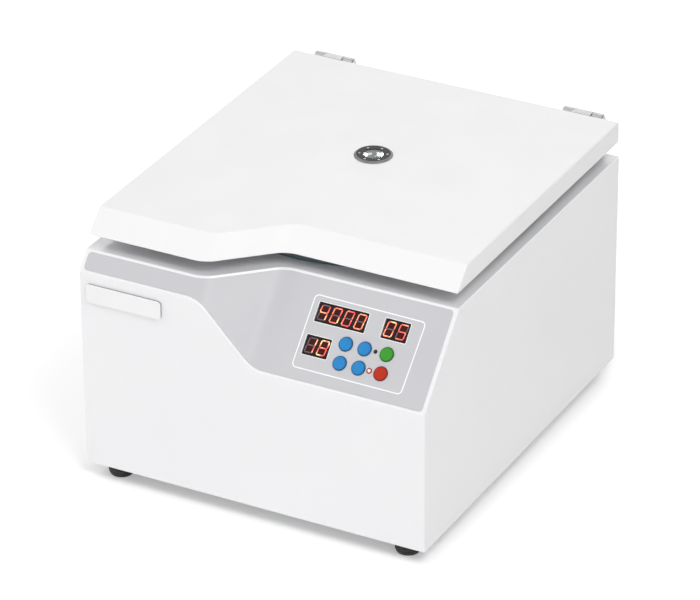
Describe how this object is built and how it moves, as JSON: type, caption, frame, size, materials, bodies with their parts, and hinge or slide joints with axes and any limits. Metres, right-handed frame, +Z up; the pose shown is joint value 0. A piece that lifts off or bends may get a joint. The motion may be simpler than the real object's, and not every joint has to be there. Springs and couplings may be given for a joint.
{
  "type": "benchtop centrifuge",
  "caption": "Bench centrifuge with a sloped control front, hinged lid with viewing port, steel chamber and swing-out bucket rotor.",
  "frame": {"origin": "on the floor plane under the feet, at the middle of the object's box", "axes": "+Z up, -Y out of the control front, +X to the right of someone facing the front"},
  "size_m": [0.36, 0.4296, 0.2732],
  "materials": {
    "white_paint": "satin white enamel",
    "white_plastic": "satin white moulding",
    "badge_white": "bare plate",
    "grey_film": "fine matt grey film",
    "grey_steel": "grey powder coat",
    "hinge_steel": "satin steel",
    "bright_steel": "brushed stainless steel",
    "cast_metal": "machined cast aluminium",
    "anodised": "clear anodised",
    "copper": "enamelled copper wire",
    "black_rubber": "matt",
    "seal_rubber": "matt dark grey-green",
    "black_plastic": "moulded",
    "display_black": "dark filter with red digits",
    "board_green": "solder mask",
    "blue_key": "satin",
    "green_key": "satin",
    "red_key": "satin",
    "dark_lamp": "unlit lamp",
    "lit_lamp": "lit lamp",
    "clear_glass": "polished"
  },
  "bodies": {
    "casing": {"base_plate": "grey_steel", "housing_shell": "white_paint", "rear_panel": "grey_steel", "foot_front_left": "black_rubber", "foot_front_right": "black_rubber", "foot_rear_left": "black_rubber", "foot_rear_right": "black_rubber", "badge_plate": "badge_white", "fascia_inlay": "grey_film", "speed_display": "display_black", "time_display": "display_black", "rotor_display": "display_black", "run_lamp": "dark_lamp", "stop_lamp": "lit_lamp", "control_board": "board_green", "power_board": "board_green", "chamber_bowl": "bright_steel", "chamber_seal": "seal_rubber", "shaft_gaiter": "black_rubber", "motor_housing": "cast_metal", "motor_cap": "cast_metal", "motor_stator": "copper", "upper_bearing": "bright_steel", "lower_bearing": "bright_steel", "motor_plate": "grey_steel", "vibration_mount_left": "black_rubber", "vibration_mount_right": "black_rubber", "vibration_mount_rear": "black_rubber", "hinge_left_bracket": "hinge_steel", "hinge_left_pin": "hinge_steel", "hinge_right_bracket": "hinge_steel", "hinge_right_pin": "hinge_steel", "lock_body": "grey_steel", "lock_solenoid": "copper", "mains_inlet": "black_plastic", "switch_frame": "black_plastic"},
    "lid": {"lid_shell": "white_plastic", "lid_liner": "bright_steel", "window_bezel": "grey_steel", "window_glass": "clear_glass", "lid_hook": "bright_steel", "hinge_left_leaf": "hinge_steel", "hinge_right_leaf": "hinge_steel"},
    "rotor": {"rotor": "cast_metal", "rotor_nut": "bright_steel", "motor_shaft": "bright_steel", "motor_armature": "grey_steel"},
    "bucket_right": {"bucket_right": "anodised"},
    "bucket_rear": {"bucket_rear": "anodised"},
    "bucket_left": {"bucket_left": "anodised"},
    "bucket_front": {"bucket_front": "anodised"},
    "key_set": {"key_set": "blue_key"},
    "key_plus": {"key_plus": "blue_key"},
    "key_mode": {"key_mode": "blue_key"},
    "key_minus": {"key_minus": "blue_key"},
    "key_start": {"key_start": "green_key"},
    "key_stop": {"key_stop": "red_key"},
    "lock_bolt": {"lock_bolt": "bright_steel"},
    "fuse_drawer": {"fuse_drawer": "black_plastic"},
    "power_rocker": {"power_rocker": "black_plastic"}
  },
  "joints": [
    {"name": "lid_hinge", "type": "hinge", "parent": "casing", "child": "lid", "pos_m": [0, 0.2098, 0.2665], "axis": [-1, 0, 0], "range_deg": [0, 80]},
    {"name": "rotor_spin", "type": "hinge", "parent": "casing", "child": "rotor", "pos_m": [0, 0.0325, 0.2], "axis": [0, 0, 1], "continuous": true},
    {"name": "bucket_right_swing", "type": "hinge", "parent": "rotor", "child": "bucket_right", "pos_m": [0.062, 0.0325, 0.2], "axis": [0, -1, 0], "range_deg": [-8, 90]},
    {"name": "bucket_rear_swing", "type": "hinge", "parent": "rotor", "child": "bucket_rear", "pos_m": [0, 0.0945, 0.2], "axis": [1, 0, 0], "range_deg": [-8, 90]},
    {"name": "bucket_left_swing", "type": "hinge", "parent": "rotor", "child": "bucket_left", "pos_m": [-0.062, 0.0325, 0.2], "axis": [0, 1, 0], "range_deg": [-8, 90]},
    {"name": "bucket_front_swing", "type": "hinge", "parent": "rotor", "child": "bucket_front", "pos_m": [0, -0.0295, 0.2], "axis": [-1, 0, 0], "range_deg": [-8, 90]},
    {"name": "key_set_press", "type": "slide", "parent": "casing", "child": "key_set", "axis": [0, 0.747, -0.6648], "range_m": [0, 0.0008], "stiffness_N_per_m": 800},
    {"name": "key_plus_press", "type": "slide", "parent": "casing", "child": "key_plus", "axis": [0, 0.747, -0.6648], "range_m": [0, 0.0008], "stiffness_N_per_m": 800},
    {"name": "key_mode_press", "type": "slide", "parent": "casing", "child": "key_mode", "axis": [0, 0.747, -0.6648], "range_m": [0, 0.0008], "stiffness_N_per_m": 800},
    {"name": "key_minus_press", "type": "slide", "parent": "casing", "child": "key_minus", "axis": [0, 0.747, -0.6648], "range_m": [0, 0.0008], "stiffness_N_per_m": 800},
    {"name": "key_start_press", "type": "slide", "parent": "casing", "child": "key_start", "axis": [0, 0.747, -0.6648], "range_m": [0, 0.0008], "stiffness_N_per_m": 800},
    {"name": "key_stop_press", "type": "slide", "parent": "casing", "child": "key_stop", "axis": [0, 0.747, -0.6648], "range_m": [0, 0.0008], "stiffness_N_per_m": 800},
    {"name": "lock_bolt_slide", "type": "slide", "parent": "casing", "child": "lock_bolt", "axis": [1, 0, 0], "range_m": [0, 0.01], "stiffness_N_per_m": 200},
    {"name": "fuse_drawer_slide", "type": "slide", "parent": "casing", "child": "fuse_drawer", "axis": [0, 1, 0], "range_m": [0, 0.016]},
    {"name": "power_rocker_tip", "type": "hinge", "parent": "casing", "child": "power_rocker", "pos_m": [-0.065, 0.198, 0.075], "axis": [1, 0, 0], "range_deg": [0, 20]}
  ]
}
